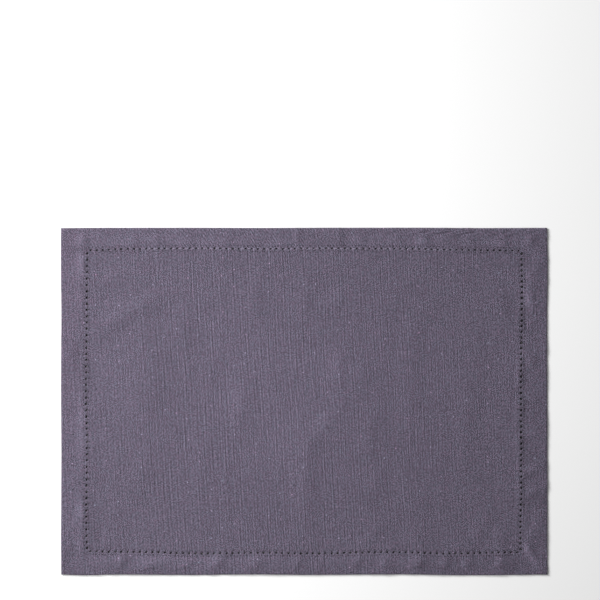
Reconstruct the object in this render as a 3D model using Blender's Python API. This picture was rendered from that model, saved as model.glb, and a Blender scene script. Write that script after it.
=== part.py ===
"""A hemstitched fabric placemat, lying flat with its right side up.

It is one piece of plain-woven cloth. All four edges are turned to the back into a wide hem with
mitred corners, and a row of open hemstitch holes, which go right through, holds the hem down.
The hem lies on the table as a thick border. The single cloth inside it comes down from the hem's
upper layer and lies on the table too, so a low groove runs round the back along the hem's edge.

The origin is on the table, under the middle of the mat. +X runs along the mat to its right end,
+Y to its far side, and +Z is up. Sizes are in metres.
"""

from collections import namedtuple

import bmesh
import bpy
from mathutils import Vector

MM = 0.001

# The mat between its straight edges, and how deep its hem is from the fold to the row of holes
LENGTH = 462.5 * MM
WIDTH = 330.0 * MM
END_HEM = 24.6 * MM
FRONT_HEM = 20.6 * MM

# Thickness of the single cloth, and of the hem with all its layers pressed together
CLOTH = 1.0 * MM
HEM = 2.0 * MM

# The outer fold: how far in its round reaches, and where a point half way round lies
FOLD_REACH = 1.1 * MM
FOLD_HALF = 0.35 * MM
FOLD_RISE = 0.75 * MM

# One open hole of the hemstitch, longer along its row than across, and the strip that holds the row
HOLE_LENGTH = 2.4 * MM
HOLE_WIDTH = 1.9 * MM
STRIP_WIDTH = 3.6 * MM

# The top of the strip drops from the hem towards the single cloth, and the cloth below it is thin
STRIP_TOP_BY_HEM = 1.75 * MM
STRIP_TOP_BY_CLOTH = 1.45 * MM
STRIP_CLOTH = 1.1 * MM

# How far the hem's flat top and back, and the slope down to the table, reach from the row of holes
HEM_TOP_ENDS = 4.5 * MM
HEM_BACK_ENDS = 2.2 * MM
SLOPE_ENDS = 9.0 * MM
FIELD_INSET = 30.0 * MM

# Steps along the ends and along the front and far side, where no hole asks for finer ones
STEPS_BY_END = 12
STEPS_BY_FRONT = 16

# A pressed cloth is a little uneven. A row says, at a share of the side's length, how far its fold
# stands past the straight edge, and how much deeper the hem is there than its usual depth.
Row = namedtuple("Row", "share bow_mm deeper_mm")
# run is the way that a side goes, anticlockwise seen from above, and out is the way that it faces.
Side = namedtuple("Side", "run out reach hem holes steps rows")

SIDES = (
    Side(
        run=Vector((1, 0)),
        out=Vector((0, -1)),
        reach=WIDTH / 2,
        hem=FRONT_HEM,
        holes=70,
        steps=STEPS_BY_FRONT,
        rows=(
            Row(0.00, 0.0, 1.7),
            Row(0.05, 0.4, 1.6),
            Row(0.12, -0.2, 0.9),
            Row(0.26, 0.2, -0.2),
            Row(0.40, -0.3, 0.1),
            Row(0.51, 0.1, -0.2),
            Row(0.70, -0.3, 0.7),
            Row(0.84, 0.4, 0.0),
            Row(1.00, -0.1, 0.8),
        ),
    ),
    Side(
        run=Vector((0, 1)),
        out=Vector((1, 0)),
        reach=LENGTH / 2,
        hem=END_HEM,
        holes=54,
        steps=STEPS_BY_END,
        rows=(
            Row(0.00, 0.2, 1.0),
            Row(0.10, 0.0, 0.8),
            Row(0.20, 0.2, 0.4),
            Row(0.40, 0.0, 0.3),
            Row(0.60, -0.2, 0.2),
            Row(0.72, -0.3, -0.5),
            Row(0.88, 0.4, -0.3),
            Row(1.00, -0.1, -0.3),
        ),
    ),
    Side(
        run=Vector((-1, 0)),
        out=Vector((0, 1)),
        reach=WIDTH / 2,
        hem=FRONT_HEM,
        holes=70,
        steps=STEPS_BY_FRONT,
        rows=(
            Row(0.00, 0.0, 1.3),
            Row(0.12, -0.2, 0.4),
            Row(0.28, 0.1, -0.5),
            Row(0.45, 0.1, -1.0),
            Row(0.58, -0.1, -0.5),
            Row(0.74, 0.1, -1.0),
            Row(0.90, 0.1, -0.4),
            Row(1.00, -0.2, 0.7),
        ),
    ),
    Side(
        run=Vector((0, -1)),
        out=Vector((-1, 0)),
        reach=LENGTH / 2,
        hem=END_HEM,
        holes=48,
        steps=STEPS_BY_END,
        rows=(
            Row(0.00, 0.2, 0.8),
            Row(0.12, 0.2, 0.2),
            Row(0.24, -0.2, 0.0),
            Row(0.36, 0.0, -0.4),
            Row(0.47, 0.1, -0.6),
            Row(0.64, -0.2, 0.1),
            Row(0.77, -0.1, -0.1),
            Row(0.90, 0.1, -0.4),
            Row(1.00, -0.1, 0.5),
        ),
    ),
)

HOLES = [side.holes for side in SIDES]
STEPS = [side.steps for side in SIDES]
CORNERS = [1, 1, 1, 1]

# Which line of the mat a loop of points follows
FOLD = "fold"
HOLE_ROW = "hole row"

# Dusty purple grey cloth
CLOTH_COLOUR = (0.155, 0.132, 0.182, 1.0)
CLOTH_ROUGHNESS = 0.9


def clear_scene():
    for obj in list(bpy.data.objects):
        bpy.data.objects.remove(obj, do_unlink=True)


def mix(a, b, share):
    return a + (b - a) * share


def wave(rows, share):
    """(bow, deeper) in metres at a share of the side, turning softly at each row."""
    for row, after in zip(rows, rows[1:]):
        if share <= after.share:
            step = (share - row.share) / (after.share - row.share)
            soft = step * step * (3 - 2 * step)
            bow = mix(row.bow_mm, after.bow_mm, soft)
            deeper = mix(row.deeper_mm, after.deeper_mm, soft)
            return bow * MM, deeper * MM
    return rows[-1].bow_mm * MM, rows[-1].deeper_mm * MM


def distance(side, line, share):
    """How far a side's fold, or its row of holes, lies from the middle of the mat."""
    bow, deeper = wave(side.rows, share)
    if line == FOLD:
        return side.reach + bow
    return side.reach + bow - side.hem - deeper


def place(number, line, share, inset):
    """A point of a side, inset from its fold or its row of holes. The corners are mitred."""
    side = SIDES[number]
    start = -distance(SIDES[number - 1], line, 1.0)
    end = distance(SIDES[(number + 1) % len(SIDES)], line, 0.0)
    along = mix(start, end, share)
    if share == 0.0:
        along += inset
    if share == 1.0:
        along -= inset
    return side.run * along + side.out * (distance(side, line, share) - inset)


def add_loop(mesh, line, inset, height, pieces):
    """A closed loop of points round the mat, as a chain for each side. Two chains share a corner."""
    starts = []
    for number, count in enumerate(pieces):
        chain = []
        for step in range(count):
            x, y = place(number, line, step / count, inset)
            chain.append(mesh.verts.new((x, y, height)))
        starts.append(chain)
    return [chain + [starts[(n + 1) % len(starts)][0]] for n, chain in enumerate(starts)]


def add_band(mesh, outer, inner):
    """Faces between two loops, whose sides may have different numbers of points."""
    for a, b in zip(outer, inner):
        last_a, last_b = len(a) - 1, len(b) - 1
        i = j = 0
        while i < last_a or j < last_b:
            if j == last_b or (i < last_a and (i + 1) * last_b <= (j + 1) * last_a):
                mesh.faces.new((a[i], a[i + 1], b[j]))
                i += 1
            else:
                mesh.faces.new((a[i], b[j + 1], b[j]))
                j += 1


def hole_points(number, share):
    """The six corners of a hole, as points of the plan and how far each lies out from the row."""
    side = SIDES[number]
    centre = place(number, HOLE_ROW, share, 0.0)
    tip, shoulder, half = HOLE_LENGTH / 2, HOLE_LENGTH / 4, HOLE_WIDTH / 2
    shape = (
        (-tip, 0.0),
        (-shoulder, half),
        (shoulder, half),
        (tip, 0.0),
        (shoulder, -half),
        (-shoulder, -half),
    )
    return [(centre + side.run * along + side.out * out, out) for along, out in shape]


def add_pierced_strip(mesh, outer, inner, height_by_hem, height_by_cloth):
    """The strip that holds the row of holes, seen from one face. It returns the rim of each hole."""
    rims = []
    middle = (height_by_hem + height_by_cloth) / 2
    slope = (height_by_hem - height_by_cloth) / STRIP_WIDTH
    for number, count in enumerate(HOLES):
        for hole in range(count):
            points = hole_points(number, (hole + 0.5) / count)
            rim = [mesh.verts.new((*p, middle + slope * out)) for p, out in points]
            a, b = outer[number][hole], outer[number][hole + 1]
            d, c = inner[number][hole], inner[number][hole + 1]
            mesh.faces.new((a, b, rim[2], rim[1]))
            mesh.faces.new((b, rim[3], rim[2]))
            mesh.faces.new((b, c, rim[3]))
            mesh.faces.new((c, rim[4], rim[3]))
            mesh.faces.new((c, d, rim[5], rim[4]))
            mesh.faces.new((d, rim[0], rim[5]))
            mesh.faces.new((d, a, rim[0]))
            mesh.faces.new((a, rim[1], rim[0]))
            rims.append(rim)
    return rims


def add_side_of_cloth(mesh, edge, rounds, flat_end, strip_heights, field_height):
    """One face of the mat, from the outer fold to the middle. It returns the rims of its holes.

    rounds are (inset, height) of the loops that round off the fold, and flat_end is (distance out
    from the row of holes, height) of the loop where the hem's flat ends.
    """
    loops = [edge]
    for inset, height in rounds:
        loops.append(add_loop(mesh, FOLD, inset, height, STEPS))
    loops.append(add_loop(mesh, HOLE_ROW, -flat_end[0], flat_end[1], STEPS))
    by_hem = add_loop(mesh, HOLE_ROW, -STRIP_WIDTH / 2, strip_heights[0], HOLES)
    loops.append(by_hem)
    for outer, inner in zip(loops, loops[1:]):
        add_band(mesh, outer, inner)

    by_cloth = add_loop(mesh, HOLE_ROW, STRIP_WIDTH / 2, strip_heights[1], HOLES)
    rims = add_pierced_strip(mesh, by_hem, by_cloth, *strip_heights)

    slope_end = add_loop(mesh, HOLE_ROW, SLOPE_ENDS, field_height, STEPS)
    field = add_loop(mesh, HOLE_ROW, FIELD_INSET, field_height, CORNERS)
    add_band(mesh, by_cloth, slope_end)
    add_band(mesh, slope_end, field)
    mesh.faces.new([chain[0] for chain in field])
    return rims


def add_hole_walls(mesh, upper_rims, lower_rims):
    """The walls of the holes, from the rim on the right side to the rim on the back."""
    for upper, lower in zip(upper_rims, lower_rims):
        for n in range(len(upper)):
            after = (n + 1) % len(upper)
            mesh.faces.new((upper[n], upper[after], lower[after], lower[n]))


def cloth_material():
    material = bpy.data.materials.new("purple_grey_linen")
    material.use_nodes = True
    shader = material.node_tree.nodes["Principled BSDF"]
    shader.inputs["Base Color"].default_value = CLOTH_COLOUR
    shader.inputs["Roughness"].default_value = CLOTH_ROUGHNESS
    shader.inputs["Metallic"].default_value = 0.0
    return material


def make_placemat():
    mesh = bmesh.new()
    edge = add_loop(mesh, FOLD, 0.0, HEM / 2, STEPS)
    upper_rims = add_side_of_cloth(
        mesh,
        edge,
        rounds=((FOLD_HALF, HEM / 2 + FOLD_RISE), (FOLD_REACH, HEM)),
        flat_end=(HEM_TOP_ENDS, HEM),
        strip_heights=(STRIP_TOP_BY_HEM, STRIP_TOP_BY_CLOTH),
        field_height=CLOTH,
    )
    lower_rims = add_side_of_cloth(
        mesh,
        edge,
        rounds=((FOLD_HALF, HEM / 2 - FOLD_RISE), (FOLD_REACH, 0.0)),
        flat_end=(HEM_BACK_ENDS, 0.0),
        strip_heights=(STRIP_TOP_BY_HEM - STRIP_CLOTH, STRIP_TOP_BY_CLOTH - STRIP_CLOTH),
        field_height=0.0,
    )
    add_hole_walls(mesh, upper_rims, lower_rims)
    bmesh.ops.recalc_face_normals(mesh, faces=mesh.faces)

    data = bpy.data.meshes.new("placemat")
    mesh.to_mesh(data)
    mesh.free()
    data.materials.append(cloth_material())
    placemat = bpy.data.objects.new("placemat", data)
    bpy.context.scene.collection.objects.link(placemat)
    return placemat


clear_scene()
make_placemat()
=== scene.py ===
"""The looks of a hemstitched fabric placemat, lying flat with its right side up.

The mat is one sheet of plain-woven cloth, made here as a closed mesh with all its layers. The right
side runs from the middle out over the hem, round the fold and along the hem's back to the turned
edge. Inside the hem is a flat pocket, and the wrong side of the single cloth closes the sheet. The
row of hemstitch holes is cut through the strip where the hem ends. Its sewing thread is a piece of
its own. Sizes are in metres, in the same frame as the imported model.
"""

import math
import random
from collections import namedtuple

import bmesh
import bpy
import numpy as np
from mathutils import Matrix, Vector, noise


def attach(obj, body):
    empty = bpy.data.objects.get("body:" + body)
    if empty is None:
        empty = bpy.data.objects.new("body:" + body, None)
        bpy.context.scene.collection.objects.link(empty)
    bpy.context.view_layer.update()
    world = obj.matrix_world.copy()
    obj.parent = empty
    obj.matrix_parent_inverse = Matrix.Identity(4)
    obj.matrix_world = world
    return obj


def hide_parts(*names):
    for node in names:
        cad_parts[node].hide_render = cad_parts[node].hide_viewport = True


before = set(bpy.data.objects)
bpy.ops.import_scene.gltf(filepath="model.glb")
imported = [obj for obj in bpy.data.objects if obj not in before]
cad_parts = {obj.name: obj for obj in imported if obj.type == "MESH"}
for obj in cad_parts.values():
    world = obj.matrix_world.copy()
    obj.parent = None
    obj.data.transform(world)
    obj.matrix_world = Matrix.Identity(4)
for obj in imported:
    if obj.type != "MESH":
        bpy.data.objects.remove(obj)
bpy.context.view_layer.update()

MM = 0.001

# ---------------------------------------------------------------------------------------------
# The mat's own sizes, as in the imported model
# ---------------------------------------------------------------------------------------------

LENGTH = 462.5 * MM
WIDTH = 330.0 * MM
END_HEM = 24.6 * MM
FRONT_HEM = 20.6 * MM

# A row says, at a share of the side's length, how far its fold stands past the straight edge, and
# how much deeper the hem is there than its usual depth.
Row = namedtuple("Row", "share bow_mm deeper_mm")
# run is the way that a side goes, anticlockwise seen from above, and out is the way that it faces.
# Its straight edge lies at its reach from the middle, and hem is the hem's usual depth. holes counts
# its hemstitch holes, hole_mm is half their size along the row and across it, and slant_deg turns
# them, so that they lean the same way on the cloth's grain all round.
Side = namedtuple("Side", "run out reach hem holes hole_mm slant_deg rows")

SIDES = (
    Side(
        run=Vector((1, 0)),
        out=Vector((0, -1)),
        reach=WIDTH / 2,
        hem=FRONT_HEM,
        holes=70,
        hole_mm=(1.08, 0.88),
        slant_deg=-25,
        rows=(
            Row(0.00, 0.0, 1.7),
            Row(0.05, 0.4, 1.6),
            Row(0.12, -0.2, 0.9),
            Row(0.26, 0.2, -0.2),
            Row(0.40, -0.3, 0.1),
            Row(0.51, 0.1, -0.2),
            Row(0.70, -0.3, 0.7),
            Row(0.84, 0.4, 0.0),
            Row(1.00, -0.1, 0.8),
        ),
    ),
    Side(
        run=Vector((0, 1)),
        out=Vector((1, 0)),
        reach=LENGTH / 2,
        hem=END_HEM,
        holes=54,
        hole_mm=(1.25, 1.12),
        slant_deg=25,
        rows=(
            Row(0.00, 0.2, 1.0),
            Row(0.10, 0.0, 0.8),
            Row(0.20, 0.2, 0.4),
            Row(0.40, 0.0, 0.3),
            Row(0.60, -0.2, 0.2),
            Row(0.72, -0.3, -0.5),
            Row(0.88, 0.4, -0.3),
            Row(1.00, -0.1, -0.3),
        ),
    ),
    Side(
        run=Vector((-1, 0)),
        out=Vector((0, 1)),
        reach=WIDTH / 2,
        hem=FRONT_HEM,
        holes=70,
        hole_mm=(0.95, 0.84),
        slant_deg=-25,
        rows=(
            Row(0.00, 0.0, 1.3),
            Row(0.12, -0.2, 0.4),
            Row(0.28, 0.1, -0.5),
            Row(0.45, 0.1, -1.0),
            Row(0.58, -0.1, -0.5),
            Row(0.74, 0.1, -1.0),
            Row(0.90, 0.1, -0.4),
            Row(1.00, -0.2, 0.7),
        ),
    ),
    Side(
        run=Vector((0, -1)),
        out=Vector((-1, 0)),
        reach=LENGTH / 2,
        hem=END_HEM,
        holes=48,
        hole_mm=(1.22, 0.92),
        slant_deg=25,
        rows=(
            Row(0.00, 0.2, 0.8),
            Row(0.12, 0.2, 0.2),
            Row(0.24, -0.2, 0.0),
            Row(0.36, 0.0, -0.4),
            Row(0.47, 0.1, -0.6),
            Row(0.64, -0.2, 0.1),
            Row(0.77, -0.1, -0.1),
            Row(0.90, 0.1, -0.4),
            Row(1.00, -0.1, 0.5),
        ),
    ),
)

# Which line of the mat a loop of points follows
FOLD = "fold"
HOLE_ROW = "hole row"

# A loop lies inset from its line, towards the middle of the mat, at a height above the table.
Ring = namedtuple("Ring", "line inset_mm height_mm")

# The right side, from the fold over the hem's soft ridge to the row of holes
FOLD_EDGE = Ring(FOLD, 0.0, 0.95)
HEM_TOP = (
    Ring(FOLD, 0.12, 1.34),
    Ring(FOLD, 0.55, 1.62),
    Ring(FOLD, 1.3, 1.73),
    Ring(FOLD, 2.4, 1.77),
    Ring(FOLD, 4.0, 1.80),
    Ring(HOLE_ROW, -14.5, 1.82),
    Ring(HOLE_ROW, -12.0, 1.84),
    Ring(HOLE_ROW, -9.4, 1.87),
    Ring(HOLE_ROW, -7.4, 1.91),
    Ring(HOLE_ROW, -5.8, 1.93),
    Ring(HOLE_ROW, -4.4, 1.92),
    Ring(HOLE_ROW, -3.2, 1.88),
    Ring(HOLE_ROW, -2.2, 1.82),
)
# Its way down from the holes to the single cloth
SLOPE_TOP = (
    Ring(HOLE_ROW, 2.2, 1.66),
    Ring(HOLE_ROW, 3.4, 1.62),
    Ring(HOLE_ROW, 4.8, 1.58),
    Ring(HOLE_ROW, 6.8, 1.53),
    Ring(HOLE_ROW, 10.0, 1.46),
)
# The hem's back, from the fold along the table to the edge that is turned in
HEM_BACK = (
    Ring(FOLD, 0.12, 0.60),
    Ring(FOLD, 0.5, 0.30),
    Ring(FOLD, 1.2, 0.08),
    Ring(FOLD, 2.4, 0.0),
    Ring(HOLE_ROW, -9.0, 0.0),
    Ring(HOLE_ROW, -4.0, 0.0),
    Ring(HOLE_ROW, -2.9, 0.06),
    Ring(HOLE_ROW, -2.45, 0.28),
    Ring(HOLE_ROW, -2.3, 0.55),
)
# The pocket inside the hem: on the turned layers, and back under the top layer
POCKET_FLOOR = (
    Ring(HOLE_ROW, -2.45, 0.80),
    Ring(HOLE_ROW, -3.2, 0.98),
    Ring(HOLE_ROW, -8.0, 1.00),
    Ring(FOLD, 4.0, 0.80),
)
POCKET_ROOF = (
    Ring(FOLD, 4.0, 0.90),
    Ring(HOLE_ROW, -8.0, 1.14),
    Ring(HOLE_ROW, -3.4, 1.12),
    Ring(HOLE_ROW, -2.2, 1.00),
)
# The wrong side of the cloth, from the holes down to the table
SLOPE_BACK = (
    Ring(HOLE_ROW, 2.2, 0.64),
    Ring(HOLE_ROW, 3.4, 0.60),
    Ring(HOLE_ROW, 4.8, 0.56),
    Ring(HOLE_ROW, 6.8, 0.51),
    Ring(HOLE_ROW, 10.0, 0.45),
)
FIELD_TOP = Ring(HOLE_ROW, 14.0, 1.38)
FIELD_BACK = Ring(HOLE_ROW, 14.0, 0.38)
# The strip that holds the holes reaches this far to each side of their row. On each of its faces it
# slopes from a height by the hem to one by the single cloth.
STRIP_HALF = 2.2 * MM
STRIP_TOP_MM = (HEM_TOP[-1].height_mm, SLOPE_TOP[0].height_mm)
STRIP_BACK_MM = (POCKET_ROOF[-1].height_mm, SLOPE_BACK[0].height_mm)
# The hem's thickness holds the single cloth up off the table there, and further in it sinks onto it
HELD_UP = 0.38 * MM
SINKS_OVER = 12.0 * MM

# Points of a loop: four to each hole by the hem, fewer round the single cloth
STEPS_TO_A_HOLE = 4
HEM_STEPS = [side.holes * STEPS_TO_A_HOLE for side in SIDES]
FIELD_STEPS = [140, 96, 140, 96]
BACK_STEPS = [70, 48, 70, 48]
# Near a corner the points crowd together, so that the loops stay mitred
CORNER_SHARE = 0.25

# At the back the mitre is a narrow groove, which starts a little way in from the fold
MITRE_GROOVE = 0.45 * MM
MITRE_HALF_SHARE = 0.0012
MITRE_STARTS = 2.0 * MM

# How much the holes differ in place, size and slant, and the seed of those differences
HOLE_WANDER = 0.3 * MM
HOLE_SPREAD = 0.15
SLANT_SPREAD = 15.0
HOLE_SEED = 7
# The cloth round a hole is pushed up into a lip and rounds off into the hole
LIP_WIDTH = 0.38 * MM
LIP_RISE = 0.10 * MM
RIM_DROP = 0.14 * MM
# A hole narrows towards the back, where the needle pushed the cloth down: its width half way down
# and at the back, as shares of its top, and how far its lip stands below the cloth there
HALFWAY_SHARE = 0.88
BACK_SHARE = 0.24
BACK_LIP_DROP = 0.30 * MM
BACK_RIM_DROP = 0.42 * MM
# Inside a hole the yarn is painted near black, a painted shade of the hole's walls. Its map marks that
# depth with this many millimetres.
INSIDE_HOLE = 200.0
# Where the twelve points round a hole lie, seen from its centre: five by the hem, one at each end
# of the hole and five by the single cloth
HOLE_ANGLES = (140, 115, 90, 65, 40, 0, -40, -65, -90, -115, -140, 180)

# Soft creases and puckers of the pressed cloth. Each is a low ridge, or a trough if its rise is
# negative, centred at x, y, running turn degrees from +X.
Crease = namedtuple("Crease", "x_mm y_mm turn_deg half_length_mm half_width_mm rise_mm")
CREASES = (
    # the single cloth, from its left end to its right end
    Crease(-152, 14, 92, 50, 19.0, 1.90),
    Crease(-168, 83, 27, 38, 9.0, 1.50),
    Crease(-184, 114, 40, 12, 7.0, 0.80),
    Crease(-186, -25, 90, 26, 8.0, -0.90),
    Crease(-188, -64, -42, 18, 3.0, 0.35),
    Crease(-188, -92, -35, 14, 3.5, 0.35),
    Crease(-181, -106, 70, 12, 7.0, 0.80),
    Crease(-153, -64, 80, 16, 9.0, 0.90),
    Crease(-115, 70, 80, 22, 11.0, 0.90),
    Crease(-98, -58, 76, 26, 11.0, 0.80),
    Crease(-91, 24, 85, 18, 7.0, 0.70),
    Crease(-74, 112, 80, 13, 8.0, 0.80),
    Crease(-58, -4, 80, 20, 7.5, 1.00),
    Crease(-48, 98, 84, 22, 10.0, 0.90),
    Crease(-44, -56, 86, 16, 8.0, 0.50),
    Crease(2, -66, 90, 42, 10.0, 1.40),
    Crease(1, 96, 82, 20, 9.0, 0.90),
    Crease(21, -21, 55, 17, 7.5, 1.20),
    Crease(28, 92, 20, 12, 7.0, 0.90),
    Crease(36, -8, 84, 12, 7.0, 0.50),
    Crease(31, 25, 84, 20, 8.5, 1.30),
    Crease(53, 24, 86, 20, 8.5, 0.90),
    Crease(62, -38, 84, 22, 9.0, 1.00),
    Crease(69, -76, 80, 16, 7.0, 0.80),
    Crease(68, -124, 42, 14, 5.0, 0.60),
    Crease(101, 0, 90, 58, 10.0, 0.80),
    Crease(109, -134, 86, 13, 6.0, 0.70),
    Crease(155, -14, 88, 40, 11.0, 0.90),
    Crease(166, -126, 58, 16, 7.0, 0.80),
    Crease(190, 91, -62, 15, 6.0, 0.90),
    Crease(186, -130, 88, 13, 6.0, 0.90),
    # the cloth is drawn up here and there beside the right row of holes
    Crease(205, 78, 90, 13, 3.6, 1.10),
    Crease(205, 27, 90, 12, 3.6, 1.20),
    Crease(206, -6, 90, 11, 4.0, 1.20),
    Crease(205, -41, 90, 15, 3.6, 1.30),
    Crease(205, -86, 90, 13, 3.6, 1.20),
    # it sinks beside part of the left row, and stays up beside the rest
    Crease(-203, 22, 90, 22, 4.0, -0.45),
    Crease(-202, 96, 90, 42, 4.0, 0.30),
    Crease(-202, -66, 90, 56, 4.0, 0.30),
    # the hem of the far side, whose puckers slant
    Crease(-210, 153, 80, 6, 4.5, 1.32),
    Crease(-194, 157, 110, 8, 5.0, 0.77),
    Crease(-163, 152, 100, 8, 5.0, 0.55),
    Crease(-141, 153, 105, 8, 5.0, 0.55),
    Crease(-112, 155, 110, 8, 5.0, 0.50),
    Crease(-74, 153, 110, 8, 5.0, 0.44),
    Crease(-21, 154, 105, 8, 5.0, 0.50),
    Crease(-6, 156, 94, 11, 3.2, 0.88),
    Crease(33, 157, 108, 9, 4.6, 1.10),
    Crease(54, 154, 105, 8, 4.6, 0.99),
    Crease(86, 160, 110, 9, 5.0, 0.99),
    Crease(114, 157, 112, 10, 5.0, 1.32),
    Crease(133, 160, 110, 8, 4.5, 0.88),
    Crease(157, 158, 110, 10, 5.5, 1.10),
    Crease(190, 155, 105, 9, 5.0, 1.10),
    Crease(215, 155, 88, 9, 4.0, 1.21),
    # the hem of the near side, whose puckers rise to the right
    Crease(-222, -150, 80, 10, 4.5, -0.96),
    Crease(-186, -154, 20, 9, 4.0, 0.72),
    Crease(-174, -153, 53, 8, 5.0, 1.32),
    Crease(-143, -155, 15, 14, 4.2, 0.96),
    Crease(-112, -155, 30, 8, 4.0, 0.60),
    Crease(-82, -153, 60, 8, 5.0, 1.32),
    Crease(-46, -154, 53, 8, 6.0, 1.32),
    Crease(-7, -154, 60, 8, 4.0, 0.84),
    Crease(16, -153, 75, 8, 4.0, 0.72),
    Crease(49, -154, 55, 8, 4.5, 1.08),
    Crease(77, -153, 70, 9, 5.0, 0.96),
    Crease(109, -154, 60, 9, 5.0, 1.44),
    Crease(133, -155, 60, 9, 4.5, 1.32),
    Crease(155, -155, 50, 7, 4.0, 0.96),
    Crease(187, -152, 75, 9, 4.5, 1.32),
    Crease(194, -156, 40, 9, 5.0, 0.84),
    # the hem of the left end
    Crease(-210, 132, 92, 10, 4.2, 0.96),
    Crease(-211, 93, 88, 8, 4.2, 0.72),
    Crease(-223, 46, 90, 16, 4.0, 0.40),
    Crease(-213, 44, 90, 13, 4.5, -0.56),
    Crease(-210, -12, 90, 20, 4.0, 0.56),
    Crease(-210, -48, 90, 10, 4.0, 0.40),
    Crease(-217, -75, 0, 10, 4.0, 0.48),
    Crease(-210, -104, 92, 12, 4.4, 0.87),
    Crease(-212, -136, 88, 8, 4.6, 0.80),
    # the hem of the right end, with its slanting folds
    Crease(219, 120, 80, 22, 5.0, 0.84),
    Crease(216, 96, 100, 10, 4.8, 1.68),
    Crease(216, 35, 90, 5, 3.5, 1.12),
    Crease(220, -30, 34, 12, 5.0, 0.70),
    Crease(218, -65, 28, 13, 4.5, 1.26),
    Crease(219, -86, 28, 13, 4.5, 1.26),
    Crease(223, -114, 70, 9, 4.5, 1.26),
    Crease(216, -128, 80, 6, 4.0, 1.12),
    # the mitres' layers show through as ridges across the corners
    Crease(-219, -155, 42, 13, 1.8, 0.16),
    Crease(214, -142, -76, 6, 3.0, 1.60),
    Crease(219, -150, -70, 7, 2.8, 1.40),
    Crease(224, -158, -66, 6, 2.5, 0.90),
    Crease(219, 155, 42, 13, 1.8, 0.18),
    Crease(-219, 155, -42, 13, 1.8, 0.25),
)
# Light and shade painted onto the cloth over its creases, puckers and hems, lighter or darker if
# lighter is negative: soft patches in the order of the creases
Patch = namedtuple("Patch", "x_mm y_mm turn_deg half_length_mm half_width_mm lighter")
PATCHES = (
    # the single cloth
    Patch(-32, 10, 0, 80, 95, 0.08),
    Patch(-194, -30, 90, 26, 8, 0.08),
    Patch(-190, 28, 90, 26, 9, 0.09),
    Patch(-198, -127, 90, 10, 6, -0.13),
    Patch(-201, 22, 90, 11, 4, -0.13),
    Patch(-67, -2, 90, 19, 6, 0.13),
    Patch(-67, 100, 90, 16, 8, 0.08),
    Patch(-42, -58, 80, 18, 10, 0.07),
    Patch(-23, -46, 80, 20, 8, 0.12),
    Patch(13, -20, 55, 15, 9, 0.10),
    Patch(26, -26, 60, 10, 6, 0.12),
    Patch(16, 32, 90, 16, 9, 0.07),
    Patch(33, 16, 90, 24, 5, 0.11),
    Patch(31, 94, 120, 14, 7, 0.10),
    Patch(192, 89, 112, 17, 7, -0.13),
    Patch(204, 77, 90, 9, 4, -0.10),
    Patch(205, -2, 90, 11, 5, -0.15),
    Patch(204, -41, 90, 14, 4, -0.15),
    Patch(201, -89, 90, 12, 4, -0.14),
    # the hem of the far side
    Patch(-168, 151, 0, 46, 5, 0.07),
    Patch(-104, 151, 0, 22, 6, 0.14),
    Patch(-72, 152, 0, 9, 5, 0.08),
    Patch(-20, 151, 0, 32, 5, 0.07),
    Patch(55, 153, 0, 10, 5, 0.07),
    Patch(82, 152, 0, 46, 5, 0.06),
    Patch(114, 152, 0, 10, 5, 0.10),
    Patch(188, 151, 0, 14, 5, 0.10),
    Patch(182, 160, 0, 11, 4, -0.14),
    # the hem of the near side
    Patch(-112, -152, 0, 42, 8, 0.09),
    Patch(46, -151, 0, 26, 8, 0.07),
    Patch(-148, -150, 0, 34, 5, 0.13),
    Patch(-86, -152, 0, 22, 6, 0.14),
    Patch(-34, -152, 0, 20, 6, 0.15),
    Patch(84, -150, 0, 18, 5, 0.10),
    Patch(118, -159, 0, 9, 5, -0.12),
    Patch(155, -140, 10, 8, 5, -0.12),
    Patch(200, -153, 0, 11, 6, -0.10),
    # the hem of the left end
    Patch(-224, 152, 90, 14, 6, -0.12),
    Patch(-222, -142, 90, 7, 6, -0.10),
    Patch(-214, 153, 60, 6, 5, 0.16),
    Patch(-216, 143, 0, 8, 3, -0.16),
    Patch(-211, 129, 90, 11, 7, 0.22),
    Patch(-212, 95, 90, 9, 5, 0.09),
    Patch(-215, 44, 90, 20, 5, -0.10),
    Patch(-211, -27, 90, 27, 6, 0.22),
    Patch(-215, -103, 90, 14, 7, 0.15),
    Patch(-212, -137, 90, 7, 6, 0.10),
    Patch(-226, -154, 90, 14, 7, -0.16),
    # the hem of the right end, and a painted highlight on the ridge of its near mitre
    Patch(223, 84, 90, 30, 6, 0.07),
    Patch(223, -8, 90, 12, 5, -0.08),
    Patch(223, -153, 60, 8, 7, 0.10),
    Patch(217, 93, 80, 10, 7, 0.25),
    Patch(211, -142, 80, 6, 4, 0.16),
    Patch(219, -151, -54, 13, 3, 0.16),
)
# Past this square of the distance, in half lengths and half widths, a crease or patch is too faint
TOO_FAINT = 8.0
# Small unevenness everywhere, and a little more of it along the hem: its pitch, its rise, how it
# slants, and the layer of the noise that it is drawn from
Uneven = namedtuple("Uneven", "pitch rise slant layer")
WAVES = Uneven(22.0 * MM, 0.34 * MM, 0.0, 0.0)
DIMPLES = Uneven(7.0 * MM, 0.08 * MM, 0.4, 0.1)
PUCKERS = Uneven(11.0 * MM, 0.45 * MM, 0.5, 0.2)
# The hem's puckers run out this far beyond the row of holes
PUCKERS_FADE = 3.0 * MM
# A trough is pressed down freely so far, and then by this much more at most, because the cloth's own
# thickness lies under it
TROUGH_FREE = 0.30 * MM
TROUGH_MORE = 0.25 * MM
# The top layer of the hem stays this much thicker over a ridge, above the pocket's roof
ROOF_LAGS = 0.30 * MM

# Hemstitch thread: its thickness, and the sides, steps and narrower tips of a strand of it
THREAD = 0.34 * MM
THREAD_SIDES = 6
THREAD_STEPS = 5
THREAD_TIP = 0.6
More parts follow.
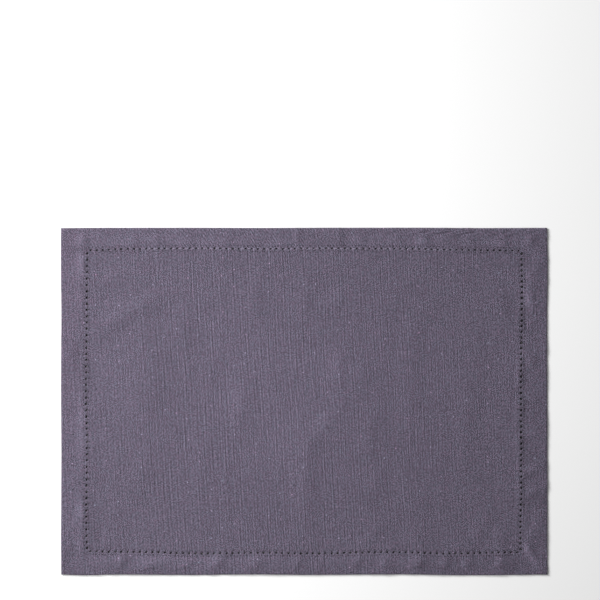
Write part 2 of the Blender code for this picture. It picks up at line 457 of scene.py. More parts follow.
# How far the two strands of a bar lie beside the row, and how far from it the needle went in
BAR_SIDE_STEP = 0.32 * MM
HEM_PRICK = 2.4 * MM
FIELD_PRICK = 1.9 * MM
# A strand starts below the cloth at this share of a hole's half, and then stands proud of the cloth
INTO_HOLE = 0.9
SUNK = 0.20 * MM
PROUD = THREAD * 0.35
# Once round a strand is this wide on its maps, which leaves room for the face that closes the round.
# For baking, each strand has a square of its own, with this margin.
ROUND_SHARE = 0.8
SQUARE_MARGIN = 0.06

# The weave, in millimetres: the pitch of its threads, how far they wander from the straight grain
# and how slowly
WARP_MM = 0.95
WEFT_MM = 1.00
WANDER_MM = Vector((2.4, 1.6, 0.0))
WANDER_SCALE = 0.014
# Each thread draws its own line of a noise, so far from the next one's, and changes over a length
Yarn = namedtuple("Yarn", "apart length_mm")
WARP_YARN = Yarn(7.31, 60.0)
THICK_YARN = Yarn(5.77, 13.0)
WEFT_YARN = Yarn(5.17, 14.0)
# How much less thick a warp thread looks for each thick one beside it
CROWDED_BY = 0.4
# How far a thread that stands out darkens each of the four crossings beside it
CROWDED_OUT = 0.13
# Reed marks, as lines to a millimetre: those of the wider set in the middle of the mat, how they
# close up along X and lean along Y, and how many more the finer set has
REED_LINES = 0.277
REED_GAIN = 0.00015
REED_LEAN = 0.02
REED_SECOND = 0.15
# How the grain leans in the hem of the far side, from this many millimetres behind the middle
FAR_HEM_FROM = 144.0
FAR_HEM_LEAN = 0.16
REED_HEM_LEAN = 0.155
REED_HEM_GAIN = -0.0002
# The needle pricked the cloth on both sides of the row of holes: how many millimetres from it
# towards the middle, and how often for each hole. The holes lie about this far apart.
PRICKED_ROWS = ((-2.6, 2.0), (2.0, 1.0))
HOLE_PITCH_MM = 5.8
# Neps lie about this many millimetres apart. Each is of a random kind from 0 to 1, darker than the
# cloth up to the one share and lighter from the other.
NEP_PITCH_MM = 11.0
DARK_NEPS_TO = 0.10
LIGHT_NEPS_FROM = 0.60
# How much lighter each of these makes the cloth, or darker if it is below 0
WARP_TONE = 0.22
THICK_TONE = 0.52
WEFT_TONE = 0.14
REED_TONE = 0.105
FINE_REED_TONE = 0.125
FUZZ_TONE = 0.10
WEAVE_PAINTED_SHADE_TONE = 0.42
ROW_DROP_PAINTED_SHADE_TONE = -0.06
LIGHT_NEP_TONE = 1.40
DARK_NEP_TONE = -0.90
PRICK_PAINTED_SHADE_TONE = -0.70
HOLE_PAINTED_SHADE_TONE = -1.60
# The root of the tone that the yarn has where it is darkest
DARKEST = 0.2
# How a pinker yarn changes the shares of red, green and blue
PINKER = (0.22, -0.16, -0.06)
# How high the weave and the thread's plies stand
CLOTH_BUMP = 0.10 * MM
THREAD_BUMP = 0.03 * MM

CLOTH_COLOUR = (0.114, 0.096, 0.139)
THREAD_COLOUR = (0.150, 0.130, 0.178)
FLOOR_COLOUR = (0.97, 0.97, 0.97)
FLOOR_SIZE = 9.0
FLOOR_DROP = 0.1 * MM

# The picture is 600 pixels wide. The middle of the mat lies at this pixel of it, and a pixel covers
# this much of the mat.
PICTURE_WIDTH = 600
MAT_MIDDLE_PIXEL = (304.16, 401.22)
PIXEL = 0.95198 * MM
LENS = 90.0
SENSOR = 36.0

# Each light is a round softbox that faces the middle of the mat.
Softbox = namedtuple("Softbox", "name place width power")
SOFTBOXES = (
    Softbox("key", (-1.55, 1.15, 1.05), 0.9, 60.0),
    Softbox("side", (-0.39, 0.02, 0.70), 0.45, 2.6),
)
STUDIO_GLOW = 0.22


# ---------------------------------------------------------------------------------------------
# Where the lines of the mat run
# ---------------------------------------------------------------------------------------------

def mix(a, b, share):
    return a + (b - a) * share


def wave(rows, share):
    """(bow, deeper) in metres at a share of the side, turning softly at each row."""
    for row, after in zip(rows, rows[1:]):
        if share <= after.share:
            step = (share - row.share) / (after.share - row.share)
            soft = step * step * (3 - 2 * step)
            bow = mix(row.bow_mm, after.bow_mm, soft)
            deeper = mix(row.deeper_mm, after.deeper_mm, soft)
            return bow * MM, deeper * MM
    return rows[-1].bow_mm * MM, rows[-1].deeper_mm * MM


def distance(side, line, share):
    """How far a side's fold, or its row of holes, lies from the middle of the mat."""
    bow, deeper = wave(side.rows, share)
    if line == FOLD:
        return side.reach + bow
    return side.reach + bow - side.hem - deeper


def crowding(share):
    """How much the points that start a side crowd, 1 at its corner and 0 past the corner's share."""
    return max(0.0, 1.0 - share / CORNER_SHARE) ** 2


def place(number, line, share, inset):
    """A point of a side, inset from a line, as (along the side, out from the mat's middle)."""
    start = -distance(SIDES[number - 1], line, 1.0)
    end = distance(SIDES[(number + 1) % len(SIDES)], line, 0.0)
    along = mix(start, end, share) + inset * (crowding(share) - crowding(1.0 - share))
    return along, distance(SIDES[number], line, share) - inset


def plan(number, along, out):
    side = SIDES[number]
    return side.run * along + side.out * out


# ---------------------------------------------------------------------------------------------
# The unevenness of the pressed cloth
# ---------------------------------------------------------------------------------------------

def terms_of(table):
    """The rows of a table of creases or patches: the turn as a direction, the sizes in metres."""
    terms = []
    for row in table:
        turn = math.radians(row.turn_deg)
        terms.append((
            row.x_mm * MM,
            row.y_mm * MM,
            math.cos(turn),
            math.sin(turn),
            row.half_length_mm * MM,
            row.half_width_mm * MM,
            row[-1],
        ))
    return terms


CREASE_TERMS = terms_of(CREASES)
PATCH_TERMS = terms_of(PATCHES)


def sum_at(terms, x, y):
    """What all the soft shapes of a table add up to at a point."""
    total = 0.0
    for cx, cy, turn_x, turn_y, half_length, half_width, most in terms:
        dx, dy = x - cx, y - cy
        across = (dy * turn_x - dx * turn_y) / half_width
        along = (dx * turn_x + dy * turn_y) / half_length
        reach = across * across + along * along
        if reach < TOO_FAINT:
            total += most * math.exp(-reach)
    return total


def uneven_rise(kind, x, y):
    spot = Vector((x + y * kind.slant, y, kind.layer)) / kind.pitch
    return kind.rise * noise.noise(spot)


def relief(x, y):
    """How far the right side stands above or below its even height."""
    beyond_row = min(LENGTH / 2 - END_HEM - abs(x), WIDTH / 2 - FRONT_HEM - abs(y))
    in_hem = math.exp(-max(0.0, beyond_row) / PUCKERS_FADE)
    rise = uneven_rise(WAVES, x, y) + uneven_rise(DIMPLES, x, y)
    rise += in_hem * uneven_rise(PUCKERS, x, y)
    rise += sum_at(CREASE_TERMS, x, y) * MM
    deeper = -TROUGH_FREE - rise
    if deeper > 0:
        rise = -TROUGH_FREE - TROUGH_MORE * (1.0 - math.exp(-deeper / TROUGH_MORE))
    return rise


# ---------------------------------------------------------------------------------------------
# Building the sheet of cloth
# ---------------------------------------------------------------------------------------------

# The layers of the sheet. The right side follows the relief, the wrong side is lifted by its
# ridges, and the turned layers of the hem lie flat on the table.
RIGHT_SIDE = "right side"
WRONG_SIDE = "wrong side"
TURNED_UNDER = "turned under"
POCKET_LOW = "pocket floor"
POCKET_HIGH = "pocket roof"

# Where each layer is drawn on the map for baking: its middle and its scale. A hole's walls are drawn
# inside its rim, at this share of their size.
Chart = namedtuple("Chart", "u v scale")
RIGHT_CHART = Chart(0.5, 0.356, 1.86)
CHARTS = {
    RIGHT_SIDE: RIGHT_CHART,
    TURNED_UNDER: RIGHT_CHART,
    WRONG_SIDE: Chart(0.203, 0.857, 0.88),
    POCKET_LOW: Chart(0.547, 0.857, 0.62),
    POCKET_HIGH: Chart(0.842, 0.857, 0.62),
}
WALL_DRAWN = 0.5

# A point of the sheet: its vertex, its place on the flat cloth, its place on the map for baking
# before that is scaled, and its place by the row of holes
Point = namedtuple("Point", "vert flat drawn by_row")


def held_up(x, y):
    """How far the hem still holds the single cloth up, 1 at the grid's edge and 0 in the middle."""
    from_end = LENGTH / 2 - END_HEM - FIELD_TOP.inset_mm * MM - abs(x)
    from_front = WIDTH / 2 - FRONT_HEM - FIELD_TOP.inset_mm * MM - abs(y)
    by_end = math.exp(-max(0.0, from_end) / SINKS_OVER)
    by_front = math.exp(-max(0.0, from_front) / SINKS_OVER)
    return 1.0 - (1.0 - by_end) * (1.0 - by_front)


def lifted(layer, x, y, height):
    """The height of a point of a layer on the uneven cloth, which the fold follows less and less."""
    if layer == RIGHT_SIDE:
        return height + relief(x, y) * min(1.0, (height / MM) ** 2)
    if layer == WRONG_SIDE:
        return height + max(0.0, relief(x, y))
    if layer == POCKET_HIGH:
        return height + max(0.0, relief(x, y) - ROOF_LAGS)
    return height


def row_place(number, share, out):
    """(count of holes so far, millimetres from the row of holes towards the middle)."""
    before = sum(side.holes for side in SIDES[:number])
    towards_middle = distance(SIDES[number], HOLE_ROW, share) - out
    return before + share * SIDES[number].holes, towards_middle / MM


def flat_place(number, layer, share, along, out):
    """Where a point lies on the cloth before the hem is turned."""
    if layer == TURNED_UNDER:
        out = 2 * distance(SIDES[number], FOLD, share) - out
    return plan(number, along, out)


def step_shares(count, mitred):
    """Where the points of a side lie, with a narrow step at each end for a mitre's groove."""
    shares = [step / count for step in range(count + 1)]
    if mitred:
        shares[1] = MITRE_HALF_SHARE
        shares[-2] = 1.0 - MITRE_HALF_SHARE
    return shares


def new_verts(mesh, layer, ring, counts):
    """The vertices of a loop, as a chain for each side without the corner that ends it."""
    inset = ring.inset_mm * MM
    turned = layer == TURNED_UNDER
    grooved = turned and (inset > MITRE_STARTS or ring.line == HOLE_ROW)
    verts = []
    for number, count in enumerate(counts):
        chain = []
        for share in step_shares(count, turned)[:-1]:
            x, y = plan(number, *place(number, ring.line, share, inset))
            height = lifted(layer, x, y, ring.height_mm * MM)
            if grooved and share == 0.0:
                height += MITRE_GROOVE
            chain.append(mesh.verts.new((x, y, height)))
        verts.append(chain)
    return verts


def add_loop(mesh, layer, ring, counts, verts=None):
    """A closed loop of points, as a chain for each side. Two chains share their corner's vertex.

    With verts, it goes round a loop that is there already, for a second layer that starts at it.
    """
    verts = verts or new_verts(mesh, layer, ring, counts)
    mitred = layer == TURNED_UNDER and ring != FOLD_EDGE
    loop = []
    for number, count in enumerate(counts):
        chain = []
        after = verts[(number + 1) % len(verts)][0]
        for vert, share in zip(verts[number] + [after], step_shares(count, mitred)):
            along, out = place(number, ring.line, share, ring.inset_mm * MM)
            flat = flat_place(number, layer, share, along, out)
            chain.append(Point(vert, flat, flat, row_place(number, share, out)))
        loop.append(chain)
    return loop


def verts_of(loop):
    return [[point.vert for point in chain[:-1]] for chain in loop]


def add_face(mesh, layer, points):
    """A face with its three maps: the flat cloth, the row of holes, and the map for baking."""
    face = mesh.faces.new([point.vert for point in points])
    face.smooth = True
    flat = mesh.loops.layers.uv["cloth_flat"]
    row = mesh.loops.layers.uv["hole_row"]
    bake = mesh.loops.layers.uv["OFBake"]
    chart = CHARTS[layer]
    for corner, point in zip(face.loops, points):
        corner[flat].uv = point.flat
        corner[row].uv = point.by_row
        corner[bake].uv = (
            chart.u + point.drawn[0] * chart.scale,
            chart.v + point.drawn[1] * chart.scale,
        )


def add_band(mesh, layer, outer, inner):
    """Faces between two loops, whose sides may have different numbers of points."""
    for a, b in zip(outer, inner):
        if len(a) == len(b):
            for n in range(len(a) - 1):
                add_face(mesh, layer, (a[n], a[n + 1], b[n + 1], b[n]))
            continue
        last_a, last_b = len(a) - 1, len(b) - 1
        i = j = 0
        while i < last_a or j < last_b:
            if j == last_b or (i < last_a and (i + 1) * last_b <= (j + 1) * last_a):
                add_face(mesh, layer, (a[i], a[i + 1], b[j]))
                i += 1
            else:
                add_face(mesh, layer, (a[i], b[j + 1], b[j]))
                j += 1


def add_bands(mesh, layer, start, rings, counts):
    """Bands from the loop start through each of rings. It returns the last loop."""
    loop = start
    for ring in rings:
        after = add_loop(mesh, layer, ring, counts)
        add_band(mesh, layer, loop, after)
        loop = after
    return loop


def add_field(mesh, layer, ring, counts, start):
    """The single cloth inside the hem: a band from start, then a grid inside its four sides."""
    edge = add_loop(mesh, layer, ring, counts)
    add_band(mesh, layer, start, edge)
    near, right = edge[0], edge[1]
    far, left = edge[2][::-1], edge[3][::-1]
    across, up = counts[0], counts[1]
    grid = [[point.vert for point in near]]
    for j in range(1, up):
        t = j / up
        line = [left[j].vert]
        for i in range(1, across):
            s = i / across
            spot = (
                near[i].vert.co * (1 - t)
                + far[i].vert.co * t
                + left[j].vert.co * (1 - s)
                + right[j].vert.co * s
                - (near[0].vert.co * (1 - s) + near[-1].vert.co * s) * (1 - t)
                - (far[0].vert.co * (1 - s) + far[-1].vert.co * s) * t
            )
            even = ring.height_mm * MM - HELD_UP * (1.0 - held_up(spot.x, spot.y))
            height = lifted(layer, spot.x, spot.y, even)
            line.append(mesh.verts.new((spot.x, spot.y, height)))
        line.append(right[j].vert)
        grid.append(line)
    grid.append([point.vert for point in far])
    for low, high in zip(grid, grid[1:]):
        for i in range(across):
            corners = (low[i], low[i + 1], high[i + 1], high[i])
            spots = [vert.co.xy for vert in corners]
            far_from_row = (0.0, ring.inset_mm)
            add_face(mesh, layer, [
                Point(vert, spot, spot, far_from_row) for vert, spot in zip(corners, spots)
            ])


# ---------------------------------------------------------------------------------------------
# The hemstitch holes
# ---------------------------------------------------------------------------------------------

Hole = namedtuple("Hole", "number share along out half_length half_width slant")


def hemstitch_holes():
    """Every hole with its own small errors of place, size and slant."""
    dice = random.Random(HOLE_SEED)
    holes = []
    for number, side in enumerate(SIDES):
        for k in range(side.holes):
            share = (k + 0.5) / side.holes
            along, out = place(number, HOLE_ROW, share, 0.0)
            holes.append(Hole(
                number,
                share,
                along + dice.uniform(-1, 1) * HOLE_WANDER,
                out + dice.uniform(-1, 1) * HOLE_WANDER / 2,
                side.hole_mm[0] * MM * (1 + dice.uniform(-1, 1) * HOLE_SPREAD),
                side.hole_mm[1] * MM * (1 + dice.uniform(-1, 1) * HOLE_SPREAD),
                math.radians(side.slant_deg + dice.uniform(-1, 1) * SLANT_SPREAD),
            ))
    return holes


def strip_place(number, share, along, out, heights, layer):
    """(place, height) of a point on a face of the sloping strip that holds the holes."""
    spot = plan(number, along, out)
    by_hem, by_cloth = heights
    from_row = out - distance(SIDES[number], HOLE_ROW, share)
    slope = mix(by_cloth, by_hem, 0.5 + from_row / (2 * STRIP_HALF))
    return spot, lifted(layer, spot.x, spot.y, slope * MM)


def hole_loop(mesh, layer, hole, grow, heights, drop, size):
    """Twelve points round a hole at a share of its size, grow wider, drop below the strip's face."""
    number = hole.number
    side = SIDES[number]
    centre = plan(number, hole.along, hole.out)
    row_start = place(number, HOLE_ROW, 0.0, 0.0)[0]
    pitch = (place(number, HOLE_ROW, 1.0, 0.0)[0] - row_start) / side.holes
    points = []
    for angle in HOLE_ANGLES:
        turn = math.radians(angle) - hole.slant
        a = (hole.half_length * size + grow) * math.cos(turn)
        o = (hole.half_width * size + grow) * math.sin(turn)
        along = hole.along + a * math.cos(hole.slant) - o * math.sin(hole.slant)
        out = hole.out + a * math.sin(hole.slant) + o * math.cos(hole.slant)
        spot, level = strip_place(number, hole.share, along, out, heights, layer)
        vert = mesh.verts.new((spot.x, spot.y, level - drop))
        # the count follows the point along the row, so that the row's pattern isn't bent by the hole
        holes_so_far, from_row = row_place(number, hole.share, out)
        holes_so_far += (spot - centre).dot(side.run) / pitch
        points.append(Point(vert, spot, spot, (holes_so_far, from_row)))
    return points


def add_ring_of_faces(mesh, layer, outer, inner):
    for n, point in enumerate(outer):
        after = (n + 1) % len(outer)
        add_face(mesh, layer, (point, outer[after], inner[after], inner[n]))


def add_pierced_strip(mesh, layer, outer, inner, holes, heights):
    """One face of the strip that holds the holes. It returns the rim of each hole.

    outer and inner are the loops along its edges by the hem and by the single cloth, and heights
    those of the two edges.
    """
    rims = []
    if layer == RIGHT_SIDE:
        size, lip_drop, rim_drop = 1.0, -LIP_RISE, RIM_DROP
    else:
        size, lip_drop, rim_drop = BACK_SHARE, BACK_LIP_DROP, BACK_RIM_DROP
    middle_ring = Ring(HOLE_ROW, 0.0, sum(heights) / 2)
    bars = add_loop(mesh, layer, middle_ring, [side.holes for side in SIDES])
    for hole in holes:
        side = SIDES[hole.number]
        k = int(hole.share * side.holes)
        first = k * STEPS_TO_A_HOLE
        last = first + STEPS_TO_A_HOLE
        bar = bars[hole.number]
        near_edge = outer[hole.number][first:last + 1]
        far_edge = inner[hole.number][first:last + 1][::-1]
        cell = near_edge + [bar[k + 1]] + far_edge + [bar[k]]
        lip = hole_loop(mesh, layer, hole, LIP_WIDTH, heights, lip_drop, size)
        rim = hole_loop(mesh, layer, hole, 0.0, heights, rim_drop, size)
        add_ring_of_faces(mesh, layer, cell, lip)
        add_ring_of_faces(mesh, layer, lip, rim)
        rims.append(rim)
    return rims


def add_hole_walls(mesh, holes, upper_rims, lower_rims):
    """The cloth's edge inside each hole, which narrows towards the back."""
    for hole, upper, lower in zip(holes, upper_rims, lower_rims):
        centre = plan(hole.number, hole.along, hole.out)
        halfway = []
        for a, b in zip(upper, lower):
            spot = centre + (a.vert.co.xy - centre) * HALFWAY_SHARE
            level = (a.vert.co.z + b.vert.co.z) / 2
            vert = mesh.verts.new((spot.x, spot.y, level))
            drawn = centre + (spot - centre) * WALL_DRAWN
            # the walls carry the mark for the painted shade inside a hole
            halfway.append(Point(vert, spot, drawn, (a.by_row[0], INSIDE_HOLE)))
        foot = [b._replace(by_row=(b.by_row[0], INSIDE_HOLE)) for b in lower]
        add_ring_of_faces(mesh, RIGHT_SIDE, upper, halfway)
        add_ring_of_faces(mesh, WRONG_SIDE, halfway, foot)


def make_cloth(holes):
    mesh = bmesh.new()
    for name in ("cloth_flat", "hole_row", "OFBake"):
        mesh.loops.layers.uv.new(name)

    # the right side, from the fold to the holes and on to the middle
    fold = add_loop(mesh, RIGHT_SIDE, FOLD_EDGE, HEM_STEPS)
    by_hem = add_bands(mesh, RIGHT_SIDE, fold, HEM_TOP, HEM_STEPS)
    by_cloth = add_loop(mesh, RIGHT_SIDE, SLOPE_TOP[0], HEM_STEPS)
    upper_rims = add_pierced_strip(mesh, RIGHT_SIDE, by_hem, by_cloth, holes, STRIP_TOP_MM)
    slope_end = add_bands(mesh, RIGHT_SIDE, by_cloth, SLOPE_TOP[1:], HEM_STEPS)
    add_field(mesh, RIGHT_SIDE, FIELD_TOP, FIELD_STEPS, slope_end)

    # the hem's back and the pocket inside it
    round_fold = add_loop(mesh, TURNED_UNDER, FOLD_EDGE, HEM_STEPS, verts_of(fold))
    turned_edge = add_bands(mesh, TURNED_UNDER, round_fold, HEM_BACK, HEM_STEPS)
    pocket_mouth = add_loop(mesh, POCKET_LOW, HEM_BACK[-1], HEM_STEPS, verts_of(turned_edge))
    pocket_end = add_bands(mesh, POCKET_LOW, pocket_mouth, POCKET_FLOOR, HEM_STEPS)
    pocket_turn = add_loop(mesh, POCKET_HIGH, POCKET_FLOOR[-1], HEM_STEPS, verts_of(pocket_end))
    roof_end = add_bands(mesh, POCKET_HIGH, pocket_turn, POCKET_ROOF, HEM_STEPS)

    # the wrong side, from the holes to the middle
    under_hem = add_loop(mesh, WRONG_SIDE, POCKET_ROOF[-1], HEM_STEPS, verts_of(roof_end))
    under_cloth = add_loop(mesh, WRONG_SIDE, SLOPE_BACK[0], HEM_STEPS)
    lower_rims = add_pierced_strip(mesh, WRONG_SIDE, under_hem, under_cloth, holes, STRIP_BACK_MM)
    slope_foot = add_bands(mesh, WRONG_SIDE, under_cloth, SLOPE_BACK[1:], HEM_STEPS)
    add_field(mesh, WRONG_SIDE, FIELD_BACK, BACK_STEPS, slope_foot)
    add_hole_walls(mesh, holes, upper_rims, lower_rims)

    # each point takes the light and shade painted by the patches
    lighter = mesh.verts.layers.float.new("painted_light_and_shade")
    for vert in mesh.verts:
        vert[lighter] = sum_at(PATCH_TERMS, vert.co.x, vert.co.y)

    bmesh.ops.recalc_face_normals(mesh, faces=mesh.faces)
    data = bpy.data.meshes.new("placemat_cloth")
    mesh.to_mesh(data)
    mesh.free()
    cloth = bpy.data.objects.new("placemat_cloth", data)
    bpy.context.scene.collection.objects.link(cloth)
    return cloth


# ---------------------------------------------------------------------------------------------
# The hemstitch thread
# ---------------------------------------------------------------------------------------------

def model_one_strand():
    """One strand, a metre long on X and as thick as the thread. It returns its points and faces."""
    bpy.ops.object.select_all(action="DESELECT")
    bpy.ops.mesh.primitive_circle_add(
        vertices=THREAD_SIDES,
        radius=THREAD / 2 * THREAD_TIP,
        fill_type="NGON",
        location=(-0.5, 0, 0),
        rotation=(0, math.pi / 2, 0),
    )
    strand = bpy.context.object
    bpy.ops.object.transform_apply(location=True, rotation=True, scale=True)
    bpy.ops.object.mode_set(mode="EDIT")
    bpy.ops.mesh.select_all(action="SELECT")
    for step in range(THREAD_STEPS):
        bpy.ops.mesh.extrude_region_move(
            TRANSFORM_OT_translate={"value": (1.0 / THREAD_STEPS, 0, 0)}
        )
        if step == 0:
            bpy.ops.transform.resize(value=(1, 1 / THREAD_TIP, 1 / THREAD_TIP))
        if step == THREAD_STEPS - 1:
            bpy.ops.transform.resize(value=(1, THREAD_TIP, THREAD_TIP))
    bpy.ops.mesh.select_all(action="SELECT")
    bpy.ops.mesh.normals_make_consistent(inside=False)
    bpy.ops.object.mode_set(mode="OBJECT")
    points = np.array([vert.co[:] for vert in strand.data.vertices])
    faces = [tuple(face.vertices) for face in strand.data.polygons]
    bpy.data.objects.remove(strand, do_unlink=True)
    return points, faces


Strand = namedtuple("Strand", "start end rise")


def hemstitch_strands(holes):
    """Where each strand starts and ends, and how far its middle rises between them."""
    top = (STRIP_TOP_MM, RIGHT_SIDE)
    back = (STRIP_BACK_MM, WRONG_SIDE)

    def end_at(hole, along, out, face, dip):
        spot, height = strip_place(hole.number, hole.share, along, out, *face)
        return Vector((spot.x, spot.y, height + dip))

    strands = []
    for hole, after in zip(holes, holes[1:]):
        if after.number != hole.number:
            continue
        start_along = hole.along + hole.half_length * INTO_HOLE
        end_along = after.along - after.half_length * INTO_HOLE
        for step in (-BAR_SIDE_STEP, BAR_SIDE_STEP):
            start = end_at(hole, start_along, hole.out + step, top, -SUNK)
            end = end_at(after, end_along, after.out + step, top, -SUNK)
            strands.append(Strand(start, end, SUNK + PROUD))
        start_along = hole.along + hole.half_length * BACK_SHARE + THREAD
        end_along = after.along - after.half_length * BACK_SHARE - THREAD
        start = end_at(hole, start_along, hole.out, back, SUNK)
        end = end_at(after, end_along, after.out, back, SUNK)
        strands.append(Strand(start, end, -SUNK - PROUD))
    for hole in holes:
        for way, prick in ((1, HEM_PRICK), (-1, FIELD_PRICK)):
            edge = hole.out + way * hole.half_width * INTO_HOLE
            start = end_at(hole, hole.along, edge, top, -SUNK)
            end = end_at(hole, hole.along, hole.out + way * prick, top, -SUNK / 2)
            strands.append(Strand(start, end, SUNK + PROUD))
    return strands


def strand_maps(points, faces, strand_count):
    """Where each corner of a strand lies round and along it, and its own square for baking."""
    turn = np.arctan2(points[:, 2], points[:, 1]) / (2 * math.pi) % 1.0
    corners = []
    for face in faces:
        around = [turn[v] for v in face]
        wraps = max(around) - min(around) > 0.5
        for v, share in zip(face, around):
            share = share + 1.0 if wraps and share < 0.5 else share
            corners.append((share * ROUND_SHARE, points[v, 0] + 0.5))
    corners = np.array(corners)
    squares = math.ceil(math.sqrt(strand_count))
    cells = np.arange(strand_count)
    origin = np.stack([cells % squares, cells // squares], axis=1)
    inside = SQUARE_MARGIN + (1 - 2 * SQUARE_MARGIN) * corners
    baked = (origin[:, None, :] + inside[None, :, :]) / squares
    return np.tile(corners, (strand_count, 1)), baked.reshape(-1, 2)


def make_thread(holes):
    """All strands of the hemstitch as one mesh, each a bent copy of the one modelled strand."""
    points, faces = model_one_strand()
    strands = hemstitch_strands(holes)
    placed = []
    for strand in strands:
        way = strand.end - strand.start
        across = Vector((-way.y, way.x, 0.0)).normalized()
        share = points[:, 0:1] + 0.5
        arch = 1.0 - (2.0 * share - 1.0) ** 4
        spot = np.array(strand.start) + share * np.array(way)
        spot = spot + points[:, 1:2] * np.array(across)
        spot[:, 2] += points[:, 2] + arch[:, 0] * strand.rise
        placed.append(spot)
    count = len(strands)
    all_faces = [
        tuple(v + n * len(points) for v in face) for n in range(count) for face in faces
    ]
    data = bpy.data.meshes.new("hemstitch_thread")
    data.from_pydata(np.concatenate(placed).tolist(), [], all_faces)
    twist, baked = strand_maps(points, faces, count)
    for name, places in (("thread_twist", twist), ("OFBake", baked)):
        layer = data.uv_layers.new(name=name)
        layer.uv.foreach_set("vector", places.ravel())
    data.shade_smooth()
    data.update()
    thread = bpy.data.objects.new("hemstitch_thread", data)
    bpy.context.scene.collection.objects.link(thread)
    return thread


# ---------------------------------------------------------------------------------------------
# Materials
# ---------------------------------------------------------------------------------------------

class Bench:
    """A material's nodes, with short ways to add the ones that cloth needs."""

    def __init__(self, name):
        self.material = bpy.data.materials.new(name)
        self.material.use_nodes = True
        self.tree = self.material.node_tree
        self.shader = self.tree.nodes["Principled BSDF"]

    def add(self, kind, inputs, **settings):
        node = self.tree.nodes.new(kind)
        for name, value in settings.items():
            setattr(node, name, value)
        for name, value in inputs.items():
            self.give(node.inputs[name], value)
        return node

    def give(self, socket, value):
        """Link an input to another node's output, or set it to a plain value."""
        if isinstance(value, bpy.types.NodeSocket):
            self.tree.links.new(value, socket)
        else:
            socket.default_value = value

    def math(self, operation, *values):
        node = self.add("ShaderNodeMath", {}, operation=operation)
        for socket, value in zip(node.inputs, values):
            self.give(socket, value)
        return node.outputs[0]

    def vector(self, operation, inputs):
        return self.add("ShaderNodeVectorMath", inputs, operation=operation).outputs[0]

    def scaled(self, value, factor, shift=0.0):
        return self.math("MULTIPLY_ADD", value, factor, shift)

    def centred(self, value, factor, mean=0.5):
        """Scaled, so that the mean of the value becomes 0."""
        return self.scaled(value, factor, -factor * mean)

    def sine(self, turns, height):
        return self.scaled(self.math("SINE", self.scaled(turns, 2 * math.pi)), height)

    def total(self, first, *others):
        for other in others:
            first = self.math("ADD", first, other)
        return first

    def ramp(self, value, low, high, to_low=0.0, to_high=1.0):
        node = self.add(
            "ShaderNodeMapRange",
            {"Value": value, "From Min": low, "From Max": high, "To Min": to_low, "To Max": to_high},
            interpolation_type="SMOOTHSTEP",
        )
        return node.outputs["Result"]

    def pair(self, x, y):
        return self.add("ShaderNodeCombineXYZ", {"X": x, "Y": y}).outputs[0]

    def parts(self, vector):
        node = self.add("ShaderNodeSeparateXYZ", {"Vector": vector})
        return node.outputs["X"], node.outputs["Y"]

    def map(self, name):
        return self.add("ShaderNodeUVMap", {}, uv_map=name).outputs["UV"]

    def attribute(self, name):
        return self.add("ShaderNodeAttribute", {}, attribute_name=name).outputs["Fac"]

    def noise(self, place, scale=1.0, detail=0.0, colour=False):
        node = self.add(
            "ShaderNodeTexNoise",
            {"Vector": place, "Scale": scale, "Detail": detail},
            noise_dimensions="2D",
        )
        return node.outputs["Color" if colour else "Fac"]

    def speckle(self, place):
        return self.add("ShaderNodeTexWhiteNoise", {"Vector": place}, noise_dimensions="2D").outputs[0]

    def finish(self, colour, height, rise, roughness):
        bump = self.add("ShaderNodeBump", {"Height": height, "Distance": rise, "Strength": 1.0})
        self.give(self.shader.inputs["Base Color"], colour)
        self.give(self.shader.inputs["Normal"], bump.outputs["Normal"])
        self.give(self.shader.inputs["Roughness"], roughness)
        return self.material


Grain = namedtuple("Grain", "flat flat_x flat_y x y warp_place weft_place warp weft into_far_hem")


def cloth_grain(bench):
    """Places on the flat cloth and along its grain in millimetres, and the numbers of the threads."""
    flat = bench.vector("SCALE", {0: bench.map("cloth_flat"), "Scale": 1 / MM})
    flat_x, flat_y = bench.parts(flat)
    # the threads wander a little from the straight grain
    drift = bench.noise(flat, scale=WANDER_SCALE, colour=True)
    wander = bench.vector("MULTIPLY_ADD", {0: drift, 1: WANDER_MM, 2: -WANDER_MM / 2})
    x, y = bench.parts(bench.vector("ADD", {0: flat, 1: wander}))
    # and the sewing dragged the hem of the far side to the left, which leans the grain there
    into_far_hem = bench.math("MAXIMUM", bench.math("SUBTRACT", flat_y, FAR_HEM_FROM), 0.0)
    x = bench.math("MULTIPLY_ADD", into_far_hem, FAR_HEM_LEAN, x)
    warp_place = bench.math("DIVIDE", x, WARP_MM)
    weft_place = bench.math("DIVIDE", y, WEFT_MM)
    return Grain(
        flat,
        flat_x,
        flat_y,
        x,
        y,
        warp_place,
        weft_place,
        bench.math("FLOOR", warp_place),
        bench.math("FLOOR", weft_place),
        into_far_hem,
    )


def plain_weave(bench, grain):
    """The rise of the round threads, of which the warp and the weft lie on top by turns."""
    def crown(place_across):
        """1 on the middle of a thread and 0 between two threads."""
        off = bench.scaled(bench.math("FRACT", place_across), 2.0, -1.0)
        return bench.math("SUBTRACT", 1.0, bench.math("MULTIPLY", off, off))

    warp_crown = crown(grain.warp_place)
    weft_crown = crown(grain.weft_place)
    warp_over = bench.math("MULTIPLY", warp_crown, bench.scaled(weft_crown, 0.6, 0.4))
    weft_over = bench.math("MULTIPLY", weft_crown, bench.scaled(warp_crown, 0.6, 0.4))
    warp_is_over = bench.math("FLOORED_MODULO", bench.math("ADD", grain.warp, grain.weft), 2.0)
    return bench.add(
        "ShaderNodeMix", {"Factor": warp_is_over, "A": weft_over, "B": warp_over}
    ).outputs["Result"]


def warp_yarn(bench, grain, yarn, step=0, detail=0.0):
    """A noise along the upright thread that lies so many threads away."""
    number = bench.math("ADD", grain.warp, step) if step else grain.warp
    line = bench.scaled(number, yarn.apart)
    return bench.noise(bench.pair(line, bench.scaled(grain.y, 1 / yarn.length_mm)), detail=detail)


